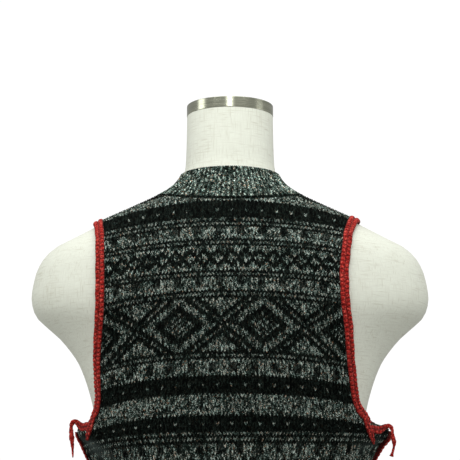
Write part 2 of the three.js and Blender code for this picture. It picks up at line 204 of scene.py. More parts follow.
# How high each point of a piece stands in its stitches: 0 is the bottom and 1 the top. The wool materials
# paint shade and highlight by it: darker at the bottom, lighter at the top.
def set_relief(piece, values):
    relief = piece.data.attributes.new("relief", "FLOAT", "POINT")
    relief.data.foreach_set("value", np.clip(values, 0, 1).astype(np.float32))


def make_tie(name, route, taper, node):
    line = smooth_route(route, TIE_RINGS)
    along = run_length(line)
    ahead = unit(np.gradient(line, axis=0))
    across = unit(np.cross(ahead, (0, 1, 0)))
    out = np.cross(across, ahead)
    turn = np.linspace(0, 2 * np.pi, TIE_SIDES, endpoint=False)
    share = np.interp(along / along[-1], np.linspace(0, 1, len(taper)), taper)
    chain = np.cos(2 * np.pi * along / CHAIN_STITCH)[:, None]
    bulge = 1 + 0.06 * chain * np.cos(turn) + 0.08 * np.cos(2 * turn + 3 * along[:, None] / CHAIN_STITCH)
    wide = (TIE_WIDTH / 2 * share)[:, None] * np.cos(turn) * bulge
    thick = (TIE_THICKNESS / 2 * share)[:, None] * np.sin(turn) * bulge
    points = line[:, None] + wide[..., None] * across[:, None] + thick[..., None] * out[:, None]
    points = points.reshape(-1, 3)
    faces = facing_out(points, ring_faces(len(line), TIE_SIDES, False))
    tie = make_piece(name, points, faces, red_wool)
    set_relief(tie, 0.75 + 1.6 * (bulge.ravel() - 1))
    stand_in(tie, node)


make_tie("tie_left_piece", LEFT_TIE_ROUTE, LEFT_TIE_TAPER, "tie_left")
make_tie("tie_right_piece", RIGHT_TIE_ROUTE, RIGHT_TIE_TAPER, "tie_right")

# ---- Dress form ----
# A limbless torso with shoulder stubs and a straight neck: a moulded shell under undyed
# linen that is drawn smooth over it.

NECK_TOP = 786.7
# Height, half width.
OUTLINE = np.array([
    (0, 159), (6, 163), (40, 166), (100, 161), (160, 149), (220, 136), (270, 130), (320, 136),
    (371, 147), (404, 157), (440, 165), (480, 179), (510, 200), (532, 224), (542, 233.5), (561, 238),
    (588, 234), (605, 227), (620, 214), (634, 188), (651, 155), (665, 124), (680, 92), (689, 76),
    (698, 65), (710, 57), (726, 53.8), (760, 52.6), (NECK_TOP, 52.3),
], float)
# Height, depth behind, depth in front, squareness.
DEPTH = np.array([
    (0, 99, 98, 2.4), (6, 103, 102, 2.4), (40, 106, 105, 2.4), (160, 94, 103, 2.35), (270, 83, 96, 2.3),
    (371, 97, 107, 2.35), (459, 106, 119, 2.3), (548, 108, 118, 2.1), (597, 103, 109, 2.05),
    (634, 93, 95, 2), (665, 79, 77, 2), (689, 66, 63, 2), (710, 56, 56, 2), (726, 53.5, 53.5, 2),
    (NECK_TOP, 52.3, 52.3, 2),
], float)
FORM_ROWS = 150
FORM_SIDES = 128


# A column of a table at each height, on a curve that never overshoots the rows.
def read_table(table, column, z):
    heights, values = table[:, 0], table[:, column]
    z = np.clip(z, heights[0], heights[-1])
    k = np.clip(np.searchsorted(heights, z), 1, len(heights) - 1)
    steps = np.diff(values) / np.diff(heights)
    before, after = steps[:-1], steps[1:]
    slopes = np.zeros(len(values))
    total = np.where(before + after == 0, 1, before + after)
    slopes[1:-1] = np.where(before * after > 0, 2 * before * after / total, 0)
    span = heights[k] - heights[k - 1]
    t = (z - heights[k - 1]) / span
    rise = t * t * (3 - 2 * t)
    lead = t * (1 - t) ** 2 * slopes[k - 1] - t * t * (1 - t) * slopes[k]
    return values[k - 1] * (1 - rise) + values[k] * rise + lead * span


# A point of a section at a turn in degrees: 0 is the middle of the back, 90 the right side.
def on_section(turn, half, back, front, power):
    side, fore = np.sin(np.radians(turn)), -np.cos(np.radians(turn))
    depth = np.where(fore < 0, back, front)
    y = np.sign(fore) * depth * np.abs(fore) ** (2 / power)
    return np.sign(side) * half * np.abs(side) ** (2 / power), y


bpy.ops.mesh.primitive_cylinder_add(vertices=FORM_SIDES, radius=1, depth=1, location=(0, 0, 0.5))
form = bpy.context.object
form.name = "form_body_piece"
bpy.ops.object.transform_apply()
bpy.context.tool_settings.mesh_select_mode = (False, True, False)
bpy.ops.object.mode_set(mode="EDIT")
bpy.ops.mesh.select_all(action="DESELECT")
bpy.ops.object.mode_set(mode="OBJECT")
for edge in form.data.edges:
    low, high = (form.data.vertices[n].co for n in edge.vertices)
    edge.select = abs(low.z - high.z) > 0.5
bpy.ops.object.mode_set(mode="EDIT")
bpy.ops.mesh.subdivide(number_cuts=FORM_ROWS - 1)
bpy.ops.object.mode_set(mode="OBJECT")
unshaped = np.array([v.co for v in form.data.vertices])
height = unshaped[:, 2] * NECK_TOP
turned = np.degrees(np.arctan2(unshaped[:, 0], -unshaped[:, 1]))
behind, ahead, squareness = (read_table(DEPTH, k, height) for k in (1, 2, 3))
across, deep = on_section(turned, read_table(OUTLINE, 1, height), behind, ahead, squareness)
form.data.vertices.foreach_set(
    "co", (np.stack([across, deep, height], 1) * 0.001).astype(np.float32).ravel(),
)
bpy.ops.object.shade_smooth_by_angle(angle=math.radians(45))
bpy.ops.object.select_all(action="DESELECT")

# Undyed linen: an off-white plain weave of about 14 threads to the centimetre, drawn here
# twice as coarse so that it shows. Slubs make thin darker streaks both ways.
linen, tree, surface = new_material("undyed_linen")
place = add_node(tree, "ShaderNodeTexCoord")
flat = add_node(tree, "ShaderNodeMapping", Vector=place.outputs["Object"], Scale=(60, 60, 700))
upright = add_node(tree, "ShaderNodeMapping", Vector=place.outputs["Object"], Scale=(700, 700, 50))
weft = add_node(tree, "ShaderNodeTexNoise", Vector=flat.outputs[0], Scale=1, Detail=2)
warp = add_node(tree, "ShaderNodeTexNoise", Vector=upright.outputs[0], Scale=1, Detail=2)
patchy = add_node(tree, "ShaderNodeTexNoise", Vector=place.outputs["Object"], Scale=35, Detail=2)
weave = add_node(
    tree, "ShaderNodeMath", {"operation": "MAXIMUM"}, _0=weft.outputs["Fac"], _1=warp.outputs["Fac"],
)
shown = add_node(
    tree, "ShaderNodeMath", {"operation": "MULTIPLY_ADD"}, _0=patchy.outputs["Fac"], _1=0.25,
    _2=weave.outputs[0],
)
thread = add_node(tree, "ShaderNodeValToRGB", Fac=shown.outputs[0])
stops(thread, [(0.45, "f1f5e6"), (0.72, "e9ecdd"), (0.92, "d4d4c1")])
tree.links.new(thread.outputs["Color"], surface.inputs["Base Color"])
threads = add_node(tree, "ShaderNodeBump", Height=weave.outputs[0], Strength=0.15, Distance=0.0004)
tree.links.new(threads.outputs["Normal"], surface.inputs["Normal"])
surface.inputs["Roughness"].default_value = 0.85
surface.inputs["Sheen Weight"].default_value = 0.1
form.data.materials.append(linen)
stand_in(form, "form_body")

# ---- Neck cap ----
# A short drum of stainless steel pressed on to the neck, brushed round and round, with its
# top edge rolled over and the top plate let in a little.

CAP_RADIUS = 52.6
CAP_LOW = NECK_TOP + 0.3
CAP_HEIGHT = 13
CAP_EDGE = 0.5
CAP_PLATE_INSET = 4
CAP_PLATE_DEPTH = 1

bpy.ops.mesh.primitive_cylinder_add(
    vertices=128, radius=CAP_RADIUS * 0.001, depth=CAP_HEIGHT * 0.001,
    location=(0, 0, (CAP_LOW + CAP_HEIGHT / 2) * 0.001),
)
cap = bpy.context.object
cap.name = "neck_cap_piece"
bpy.ops.object.transform_apply()
bpy.context.tool_settings.mesh_select_mode = (False, False, True)
bpy.ops.object.mode_set(mode="EDIT")
bpy.ops.mesh.select_all(action="DESELECT")
bpy.ops.object.mode_set(mode="OBJECT")
for face in cap.data.polygons:
    face.select = face.normal.z > 0.9
bpy.ops.object.mode_set(mode="EDIT")
bpy.ops.mesh.inset(thickness=CAP_PLATE_INSET * 0.001)
bpy.ops.mesh.inset(thickness=CAP_PLATE_DEPTH * 0.001, depth=-CAP_PLATE_DEPTH * 0.001)
bpy.ops.object.mode_set(mode="OBJECT")
edge = cap.modifiers.new("rolled edge", "BEVEL")
edge.width = CAP_EDGE * 0.001
edge.segments = 4
edge.limit_method = "ANGLE"
edge.angle_limit = math.radians(60)
bpy.ops.object.modifier_apply(modifier="rolled edge")
bpy.ops.object.shade_smooth_by_angle(angle=math.radians(35))
cap.modifiers.new("flat walls", "WEIGHTED_NORMAL").keep_sharp = True
bpy.ops.object.modifier_apply(modifier="flat walls")
bpy.ops.object.select_all(action="DESELECT")

# Stainless steel, brushed along the rim: fine level scratches that spread the
# reflections up and down.
steel, tree, surface = new_material("brushed_stainless_steel")
place = add_node(tree, "ShaderNodeTexCoord")
brushed = add_node(tree, "ShaderNodeMapping", Vector=place.outputs["Object"], Scale=(12, 12, 2600))
scratch = add_node(tree, "ShaderNodeTexNoise", Vector=brushed.outputs[0], Scale=1, Detail=4)
tone = add_node(tree, "ShaderNodeValToRGB", Fac=scratch.outputs["Fac"])
stops(tone, [(0.3, "a2a591"), (0.7, "d3d5c0")])
tree.links.new(tone.outputs["Color"], surface.inputs["Base Color"])
grain = add_node(tree, "ShaderNodeMapRange", Value=scratch.outputs["Fac"], To_Min=0.14, To_Max=0.26)
tree.links.new(grain.outputs[0], surface.inputs["Roughness"])
lines = add_node(tree, "ShaderNodeBump", Height=scratch.outputs["Fac"], Strength=0.2, Distance=0.0001)
tree.links.new(lines.outputs["Normal"], surface.inputs["Normal"])
surface.inputs["Metallic"].default_value = 1
cap.data.materials.append(steel)
stand_in(cap, "neck_cap")

# ---- Back panel ----
# Fair Isle knitting in black and grey marl wool, worked flat by hand in stocking stitch with
# the idle yarn stranded behind. Each stitch is a V of two plump legs; the cloth follows the
# form's back, hangs a little clear at the waist and stands off under each arm.

# Course, width of one stitch: the knitting is a little wider over the shoulders.
STITCH = np.array([(-22, 4.3), (4, 4.3), (14, 4.1), (25, 4.02), (156, 4.02)], float)
CLOTH_INNER = 2.2
CLOTH_FACE = 3.5
LEG_HEIGHT = 1.25
LEG_LEAN = 0.85
HEM_TOP_Z = 135.3
UNDERARM_Z = 404
FLAT_TOP_Z = 600
NECK_POINT_Z = 682
NECK_BACK_Z = 665
NECK_FRONT_Z = 626
SIDE_HALF_GAP = 4.8
WING_DEPTH = 62
# Height, side, back, front: how far the vest hangs clear of the form.
EASE = np.array([
    (75, 5, 6, 7), (160, 8, 12, 9), (245, 14, 17, 12), (320, 8, 10, 7), (371, 2, 3, 3), (440, 0, 0, 0),
], float)
# Height, left, right: how far the side seams stand out under the arms.
WING = np.array([
    (300, 0, 0), (345, 5.5, 6), (371, 12.5, 15), (388, 16.5, 22.5), (398, 18.5, 27), (408, 17, 24.5),
    (420, 5, 7), (440, 0, 0),
], float)
# Height, left, right: the armhole's edge.
ARMHOLE = np.array([
    (405.5, 173, 178.5), (408, 165, 166), (411, 157.5, 155.5), (415, 153, 149), (421, 150, 144.5),
    (435, 148, 139.5), (455, 148.5, 137), (480, 149.3, 134.2), (510, 147.7, 132.5), (545, 146, 128.5),
    (575, 146.3, 127.5), (600, 146.8, 130), (622, 148, 133),
], float)
SHOULDER_POINT_Z = {-1: 652.0, 1: 655.5}
# Course, drop on the left and on the right at BOW_REACH from the middle: how the courses
# bow. They are counted down from the top of the first black band.
BOW_REACH = 150
BOW = np.array([
    (-20, 6, 4), (0, 8, 6), (7, 12, 9), (11, 14.5, 11.5), (16, 13.5, 12), (19, 12.5, 11),
    (28, 10.5, 8.5), (39, 13.5, 9.5), (58, 10, 7), (70, 8.5, 6.6), (80, 6.5, 3), (88, 1, -5),
    (95, 1, -5), (125, 2, 0), (156, 0, 0),
], float)
# Course, height of cloth above FLAT_TOP_Z: stranded courses stand taller than plain ones.
COURSE_UP = np.array([
    (-22, 139), (0, 66.5), (3.5, 51.7), (7, 41.2), (7.5, 38.9), (9.5, 33.4), (10.5, 30.4),
    (16.5, 11.9), (18.5, 6.1), (28.5, -26.7), (30.5, -31.9), (36.5, -49.8), (38.5, -55.9),
    (58.5, -120.8), (60.5, -126.5), (66, -147), (73, -168.2), (80, -191.9), (87, -211.6),
    (89.5, -219.9), (156, -467.9),
], float)
MOTIF_CENTRE = -3


def vest_size(z):
    half = read_table(OUTLINE, 1, z) + read_table(EASE, 1, z)
    back = read_table(DEPTH, 1, z) + read_table(EASE, 2, z)
    front = read_table(DEPTH, 2, z) + read_table(EASE, 3, z)
    return half, back, front, read_table(DEPTH, 3, z)


def wing_at(side, y, z):
    wing = np.where(side < 0, read_table(WING, 1, z), read_table(WING, 2, z))
    return wing * np.cos(np.pi / 2 * np.minimum(1, np.abs(y) / WING_DEPTH)) ** 2


def vest_point(turn, z):
    x, y = on_section(turn, *vest_size(z))
    return np.stack([x + np.sign(turn) * wing_at(turn, y, z) * (np.abs(x) > 0), y, z + 0 * x], -1)


def fullness(points):
    x, y, z = np.moveaxis(points, -1, 0)
    half, back, front, power = vest_size(z)
    across = np.maximum(0, np.abs(x) - wing_at(x, y, z)) / half
    return across**power + (np.abs(y) / np.where(y < 0, back, front)) ** power


def outward(points):
    steps = 0.5 * np.eye(3)
    return unit(np.stack([fullness(points + step) - fullness(points - step) for step in steps], -1))


# Values on a grid of evenly spaced places, read between its points.
def between(grid, first, last, u, v):
    u = np.clip((u - first[0]) / (last[0] - first[0]), 0, 1) * (grid.shape[0] - 1)
    v = np.clip((v - first[1]) / (last[1] - first[1]), 0, 1) * (grid.shape[1] - 1)
    k, j = np.minimum(u.astype(int), grid.shape[0] - 2), np.minimum(v.astype(int), grid.shape[1] - 2)
    s, t = (u - k)[..., None], (v - j)[..., None]
    low = grid[k, j] * (1 - t) + grid[k, j + 1] * t
    high = grid[k + 1, j] * (1 - t) + grid[k + 1, j + 1] * t
    return low * (1 - s) + high * s


def depth_at(x, z, is_front):
    half, back, front, power = vest_size(z)
    share = np.clip(np.abs(x) / half, 0, 1)
    return np.where(is_front, front, -back) * (1 - share**power) ** (1 / power)


# The cloth below the yoke: for each height, the turn at each distance round from the middle
# and how far round the panel's edge is.
WIDEST = 240
LEVELS = np.arange(HEM_TOP_Z, FLAT_TOP_Z + 1, 1.0)


def lay_body(sign, is_front, levels):
    turns = np.linspace(0, 90, 361)
    z = np.repeat(levels[:, None], len(turns), 1)
    points = vest_point(sign * np.where(is_front, 180 - turns, turns) + 0 * z, z)
    steps = np.linalg.norm(np.diff(points, axis=1), axis=-1)
    round_to = np.concatenate([np.zeros((len(levels), 1)), np.cumsum(steps, 1)], 1)
    reach = read_table(ARMHOLE, 1 if sign < 0 else 2, levels)
    past = np.where(
        (levels < ARMHOLE[0, 0])[:, None], np.abs(points[..., 1]) < SIDE_HALF_GAP,
        np.abs(points[..., 0]) > reach[:, None],
    )
    first = np.argmax(past, 1)
    edge = round_to[np.arange(len(levels)), first]
    evenly = np.arange(0, WIDEST + 1, 1.0)
    turn_at = np.stack([np.interp(evenly, run, turns) for run in round_to])
    return turn_at, edge


# The cloth above: for each place across, the point at each length of cloth up over the
# shoulder, and how long the cloth is to the shoulder seam or the neck seam.
LONGEST = 150
RIDGE_LIMIT_Z = 760
PATH_POINTS = 200
PLACES = np.arange(0, 166, 1.0)
NECK_HALF = float(vest_size(np.array(NECK_POINT_Z))[0])


def lay_yoke(is_front):
    middle = NECK_FRONT_Z if is_front else NECK_BACK_Z
    grid, length = [], []
    heights = np.linspace(FLAT_TOP_Z, RIDGE_LIMIT_Z, 1601)
    halves = vest_size(heights)[0]
    for x in PLACES:
        ridge = np.interp(-x, -halves, heights)
        if x < NECK_HALF:
            ridge = NECK_POINT_Z - (NECK_POINT_Z - middle) * math.sqrt(1 - (x / NECK_HALF) ** 2)
        z = FLAT_TOP_Z + (ridge - FLAT_TOP_Z) * np.sin(np.linspace(0, np.pi / 2, PATH_POINTS))
        y = depth_at(x, z, is_front)
        if x >= NECK_HALF:
            y[-1] = 0
        path = np.stack([np.full(PATH_POINTS, x), y, z], 1)
        run = run_length(path)
        evenly = np.arange(0, LONGEST + 1, 1.0)
        grid.append(np.stack([np.interp(evenly, run, path[:, n]) for n in range(3)], 1))
        length.append(run[-1])
    return np.array(grid), np.array(length)


# The armhole's edge above the yoke: how far across it is at each length of cloth.
def yoke_edge(sign, is_front, grid):
    start = ARMHOLE[-1, 0]
    low = read_table(ARMHOLE, 1 if sign < 0 else 2, start)
    top = vest_size(np.array(SHOULDER_POINT_Z[sign]))[0]
    from_y = depth_at(low, start, is_front)
    share = np.linspace(0, 1, 30)
    x = low + (top - low) * (1 - (1 - share) ** 2)
    y = from_y * (1 - share)
    along = np.arange(LONGEST + 1.0)
    lengths = []
    for place, deep in zip(x, y):
        column = between(grid, (0, 0), (PLACES[-1], LONGEST), np.full(len(along), place), along)
        lengths.append(np.interp(-abs(deep), -np.abs(column[:, 1]), along))
    base = np.linspace(0, lengths[0] - 1, 5)
    low_x = read_table(ARMHOLE, 1 if sign < 0 else 2, FLAT_TOP_Z + base)
    return np.concatenate([base, lengths]), np.concatenate([low_x, x])


def lay_panel(is_front):
    body = {sign: lay_body(sign, is_front, LEVELS) for sign in (-1, 1)}
    grid, length = lay_yoke(is_front)
    edges = {sign: yoke_edge(sign, is_front, grid) for sign in (-1, 1)}
    wide = {sign: float(np.interp(UNDERARM_Z - 1, LEVELS, body[sign][1])) for sign in (-1, 1)}
    return {"body": body, "grid": grid, "length": length, "edges": edges, "wide": wide, "front": is_front}


# Puts places on the knitting, in stitches across and courses down, on the worn cloth. It
# also says which of them lie past the panel's edge, and are held at it.
def wear(panel, stitches, course):
    across = stitches * read_table(STITCH, 1, course)
    sign = np.where(across < 0, -1, 1)
    drop = np.where(across < 0, read_table(BOW, 1, course), read_table(BOW, 2, course))
    bow = drop * (across / BOW_REACH) ** 2
    up = np.interp(course, COURSE_UP[:, 0], COURSE_UP[:, 1]) - bow
    outside = up < HEM_TOP_Z - FLAT_TOP_Z
    up = np.maximum(up, HEM_TOP_Z - FLAT_TOP_Z)
    z = FLAT_TOP_Z + np.minimum(up, 0)
    points = np.zeros(across.shape + (3,))
    for side in (-1, 1):
        turn_at, edge = panel["body"][side]
        limit = np.interp(z, LEVELS, edge)
        far = np.abs(across) * np.where(z < UNDERARM_Z - 1, limit / panel["wide"][side], 1)
        here = sign == side
        outside |= here & (far > limit) & (up <= 0)
        far = np.minimum(far, np.where(up <= 0, limit, WIDEST))
        turn = between(turn_at[..., None], (LEVELS[0], 0), (LEVELS[-1], WIDEST), z, far)[..., 0]
        turn = side * np.where(panel["front"], 180 - turn, turn)
        low = vest_point(turn, z)
        x_limit = np.interp(up, *panel["edges"][side])
        x = np.minimum(np.abs(low[..., 0]), np.where(up > 0, x_limit, 1e9))
        top = np.interp(x, PLACES, panel["length"])
        outside |= here & (up > 0) & ((np.abs(low[..., 0]) > x_limit) | (up > top))
        high = between(panel["grid"], (0, 0), (PLACES[-1], LONGEST), x, np.minimum(up, top))
        high = high * (side, 1, 1)
        chosen = np.where((up > 0)[..., None], high, low)
        points = np.where(here[..., None], chosen, points)
    return points, outside


# Soft folds: each is a line on the cloth from one point to another, with its width and how far it rises,
# or sinks if less than nothing. They are uneven, and fade towards their far end.
FOLD_FADE = 0.6
BACK_FOLDS = [
    ((-183, -8, 400), (-128, -78, 372), 9, 3.2), ((-178, -14, 388), (-120, -84, 352), 10, -3.0),
    ((-170, -10, 372), (-112, -86, 330), 12, 2.6), ((184, -14, 396), (138, -70, 366), 9, 3.0),
    ((182, -12, 384), (126, -80, 342), 11, -3.2), ((172, -8, 366), (108, -88, 318), 13, 2.8),
    ((-150, -40, 300), (-60, -96, 268), 15, 2.4), ((148, -40, 290), (52, -98, 262), 16, 2.6),
    ((-148, -30, 262), (-76, -98, 246), 13, -2.2), ((146, -32, 250), (70, -98, 232), 13, -2.4),
    ((-150, -40, 222), (-40, -104, 210), 16, 2.2), ((150, -36, 208), (30, -106, 196), 17, 2.0),
    ((-96, -92, 430), (-60, -102, 390), 16, 1.2), ((88, -92, 424), (64, -102, 380), 15, -1.2),
    ((0, -106, 330), (10, -108, 250), 24, 1.8),
]
FRONT_FOLDS = [
    ((-180, 10, 398), (-122, 88, 366), 9, 3.0), ((-176, 12, 384), (-112, 92, 344), 11, -3.0),
    ((182, 14, 398), (130, 82, 370), 10, 3.2), ((178, 12, 382), (120, 88, 338), 11, -3.0),
    ((-152, 36, 300), (-50, 104, 272), 15, 2.6), ((150, 40, 296), (66, 102, 262), 15, 2.4),
    ((-148, 34, 256), (-60, 104, 240), 14, -2.2), ((148, 32, 248), (58, 106, 228), 14, -2.4),
    ((-150, 40, 216), (-30, 112, 204), 16, 2.2), ((148, 44, 204), (40, 112, 190), 17, 2.0),
    ((-86, 104, 430), (-50, 114, 384), 16, 1.4), ((84, 106, 436), (50, 116, 392), 16, -1.3),
    ((4, 112, 332), (-8, 112, 262), 22, 1.8),
]


# Painted highlight where light catches the folds under the arms, a pale grey-blue laid on the wool: the
# same kind of lines.
UNDERARM_FOLD_HIGHLIGHTS = [
    ((-174, -14, 392), (-146, -54, 370), 6, 0.4), ((-166, -26, 380), (-138, -62, 362), 8, 0.35),
    ((170, -22, 388), (164, -34, 378), 6, 0.5), ((160, -40, 376), (150, -52, 366), 7, 0.35),
    ((-170, 20, 394), (-148, 50, 376), 6, 0.5), ((170, 20, 390), (152, 46, 372), 7, 0.5),
]


def fold_height(points, folds):
    height = np.zeros(points.shape[:-1])
    for start, end, width, rise in folds:
        start, end = np.array(start, float), np.array(end, float)
        along = end - start
        share = np.clip(((points - start) @ along) / (along @ along), 0, 1)
        away = np.linalg.norm(points - (start + share[..., None] * along), axis=-1)
        height += rise * (1 - FOLD_FADE * share) * np.exp(-((away / width) ** 2))
    return height


# The pattern bands from the top down; each string is one course, repeated. k is black and g grey marl.
# Marl stitches that stand alone sink between black ones, and painted shade darkens them, a share of black
# mixed into the marl: l is a line of them, s a seed and r a ring. d is black that the marl's hairs have
# crept over.
DOTS = ["k", "k", "k", "kkkl", "k", "k", "k"]
TICKS = ["dggggd", "dggggd", "dggggd", "gggggg", "gggggg"]
LOW_TICKS = ["gggggg", "gggddg", "gggddg", "gggddg", "gggggg"]
TRELLIS = ["gggg", "gggk", "kgkk", "kkkg", "gkgg", "kkkg", "kgkk", "gggk", "gggg"]
PLAIN = ["g"] * 7
DARK_LINE = ["k", "l", "k"]


# Diamonds of alternate stitches in a black frame, joined by a cross; 24 stitches repeat.
def diamond_stitch(stitch, row):
    dx = (stitch + 12) % 24 - 12
    dy = row - 9
    ring = abs(dx) + abs(dy)
    if ring <= 5:
        return "s" if (dx + dy) % 2 == 0 else "k"
    if ring <= 7:
        return "k"
    if ring <= 10:
        return "r"
    beyond = abs(dy) - (12 - abs(dx))
    if beyond == 1:
        return "l"
    return "k" if beyond <= 3 else "g"


DIAMONDS = ["".join(diamond_stitch(stitch + 12, row) for stitch in range(24)) for row in range(19)]
COURSES = (
    DOTS + ["l", "k", "l", "k"] + TICKS + DARK_LINE + TRELLIS + DARK_LINE + TICKS + DARK_LINE + DIAMONDS
    + DARK_LINE + LOW_TICKS + DOTS + PLAIN
)
# l, s and r are marl with painted shade: a share of black is mixed into them.
YARNS = {"k": 0.0, "d": 0.12, "l": 0.7, "s": 0.75, "r": 0.85, "g": 1.0}


def yarn_at(stitch, course):
    chart = np.array([[YARNS[row[n % len(row)]] for n in range(24)] for row in COURSES])
    return chart[course % len(COURSES), stitch % 24]


# Knitting from its columns. A groove column has one point to a course and a leg column
# has two, low where the leg comes out and high where it is plump. Each row of columns is
# (place across, whether it is a leg, how far its courses are shifted up, height).
def knit(columns, first_course, courses):
    across, course, height, starts = [], [], [], []
    count = 0
    for place, is_leg, lean, rise in columns:
        steps = np.arange(2 * courses + 1) / 2 if is_leg else np.arange(courses + 1.0)
        plump = np.where(steps % 1 == 0.5, 1.0, 0.45) if is_leg else np.ones(len(steps))
        starts.append(count)
        count += len(steps)
        across.append(np.full(len(steps), place))
        course.append(first_course - steps - lean)
        height.append(rise * plump)
    faces, owner = [], []
    j = np.arange(courses)
    for n, ((_, left_leg, _, _), (_, right_leg, _, _)) in enumerate(zip(columns, columns[1:])):
        a, b = starts[n], starts[n + 1]
        if left_leg:
            low, high, top, far, far_top = a + 2 * j, a + 2 * j + 1, a + 2 * j + 2, b + j, b + j + 1
            made = [(low, far, high), (high, far, far_top), (high, far_top, top)]
        elif right_leg:
            low, high, top, far, far_top = b + 2 * j, b + 2 * j + 1, b + 2 * j + 2, a + j, a + j + 1
            made = [(far, low, high), (far, high, far_top), (far_top, high, top)]
        else:
            made = [(a + j, b + j, b + j + 1), (a + j, b + j + 1, a + j + 1)]
        for triple in made:
            faces.append(np.stack(triple, 1))
            owner.append(np.stack([np.full(courses, n), j], 1))
    return (
        np.concatenate(across), np.concatenate(course), np.concatenate(height),
        np.concatenate(faces), np.concatenate(owner),
    )


# Leaves out the faces that lie wholly past the edge, and the points that no face needs.
def trimmed(points, faces, outside, *kept):
    faces_in = ~outside[faces].all(1)
    faces = faces[faces_in]
    used, renamed = np.unique(faces, return_inverse=True)
    return points[used], renamed.reshape(faces.shape), used, [k[faces_in] for k in kept]


# The rings of edges that have a face on one side only, the longest first.
def rims_of(faces):
    ahead = {}
    sides = {(a, b) for f in faces.tolist() for a, b in zip(f, f[1:] + f[:1])}
    for a, b in sides:
        if (b, a) not in sides:
            ahead.setdefault(a, []).append(b)
    rings = []
    while ahead:
        start = here = next(iter(ahead))
        ring = []
        while here in ahead:
            ring.append(here)
            step = ahead[here].pop()
            if not ahead[here]:
                del ahead[here]
            here = step
            if here == start:
                break
        rings.append(ring)
    return sorted(rings, key=len, reverse=True)


# Sews two rims together with triangles, taking the shorter way across each time.
def sewn(points, outer, inner):
    nearest = int(np.argmin(np.linalg.norm(points[inner] - points[outer[0]], axis=1)))
    inner = inner[nearest:] + inner[:nearest]
    outer, inner = outer + outer[:1], inner + inner[:1]
    made, i, j = [], 0, 0
    while i < len(outer) - 1 or j < len(inner) - 1:
        on_outer = i < len(outer) - 1 and (
            j == len(inner) - 1
            or np.linalg.norm(points[outer[i + 1]] - points[inner[j]])
            <= np.linalg.norm(points[outer[i]] - points[inner[j + 1]])
        )
        if on_outer:
            made.append([outer[i + 1], outer[i], inner[j]])
            i += 1
        else:
            made.append([outer[i], inner[j], inner[j + 1]])
            j += 1
    return made


# The colour of each face: red is its yarn, green is different for each leg and blue says how much painted
# highlight lies on it, where light catches the folds under the arms.
def set_yarn(piece, yarn, leg, fold_highlight):
    colours = np.stack([yarn, leg, fold_highlight, np.ones(len(yarn))], 1)
    corners = np.zeros(len(piece.data.polygons), int)
    piece.data.polygons.foreach_get("loop_total", corners)
    layer = piece.data.color_attributes.new("yarn", "FLOAT_COLOR", "CORNER")
    layer.data.foreach_set("color", np.repeat(colours, corners, 0).astype(np.float32).ravel())


# A closed shell of knitting: its face, its lining and the rims between them.
def make_shell(name, points, faces, height, lining, squares, yarn, leg, fold_highlight, turned, material):
    both = np.concatenate([points, lining])
    squares = squares + len(points)
    rims = [rims_of(faces), rims_of(squares)]
    made = []
    for rim in rims[0]:
        middle = both[rim].mean(0)
        inner = min(rims[1], key=lambda other: np.linalg.norm(both[other].mean(0) - middle))
        made += sewn(both, rim, inner[::-1])
    all_faces = faces.tolist() + squares.tolist() + made
    if turned:
        all_faces = [f[::-1] for f in all_faces]
    piece = make_piece(name, both, all_faces, material)
    extra = len(all_faces) - len(faces)
    yarn, leg, fold_highlight = (
        np.concatenate([kept, np.full(extra, plain)])
        for kept, plain in ((yarn, 1), (leg, 0.5), (fold_highlight, 0))
    )
    set_yarn(piece, yarn, leg, fold_highlight)
    set_relief(piece, np.concatenate([height, np.full(len(lining), 0.4)]))
    return piece


# Across one stitch: place, whether it is a leg, share of the lean, height.
QUARTERS = [(0, False, 1.0, 0.0), (0.25, True, 0.5, 1.0), (0.5, False, 0.0, 0.42), (0.75, True, 0.5, 1.0)]
HEM_COURSE = 156
OVER_COURSE = -22


def make_panel(name, node, is_front, folds, seed, material):
    panel = lay_panel(is_front)
    left, right = (math.ceil(panel["wide"][sign] / STITCH[-1, 1] + 0.5) for sign in (-1, 1))
    columns = [
        (wale + at, is_leg, LEG_LEAN * lean, rise)
        for wale in range(-left, right) for at, is_leg, lean, rise in QUARTERS
    ]
    columns.append((right, False, LEG_LEAN, 0.0))
    courses = HEM_COURSE - OVER_COURSE
    across, course, height, faces, owner = knit(columns, HEM_COURSE, courses)
    worn, outside = wear(panel, across, course)
    random = np.random.default_rng(seed)
    uneven = 1 + 0.12 * random.standard_normal(len(height))
    out = CLOTH_FACE + LEG_HEIGHT * np.where(outside, 0.3, height * uneven) + fold_height(worn, folds)
    points, faces, used, (owner,) = trimmed(worn + outward(worn) * out[:, None], faces, outside, owner)

    inner_across, inner_course = np.meshgrid(
        np.arange(-left, right + 1, 2.0), np.arange(HEM_COURSE, OVER_COURSE - 1, -3.0),
    )
    rows, wide = inner_across.shape
    lining, lining_outside = wear(panel, inner_across.ravel(), inner_course.ravel())
    lift = CLOTH_INNER + fold_height(lining, folds)
    lining = lining + outward(lining) * lift[:, None]
    lining, squares, _, _ = trimmed(lining, grid_squares(rows, wide, False), lining_outside)

    column, step = owner.T
    wale = (column // 4) - left
    stitch = wale - MOTIF_CENTRE * (-1 if is_front else 1)
    yarn = yarn_at(stitch, HEM_COURSE - 1 - step)
    leg = random.random((len(columns) + 1, courses))[column // 2, step]
    fold_highlight = fold_height(points[faces[:, 0]], UNDERARM_FOLD_HIGHLIGHTS)
    piece = make_shell(
        name, points, faces, height[used], lining, squares, yarn, leg, fold_highlight, is_front, material,
    )
    stand_in(piece, node)
    return piece


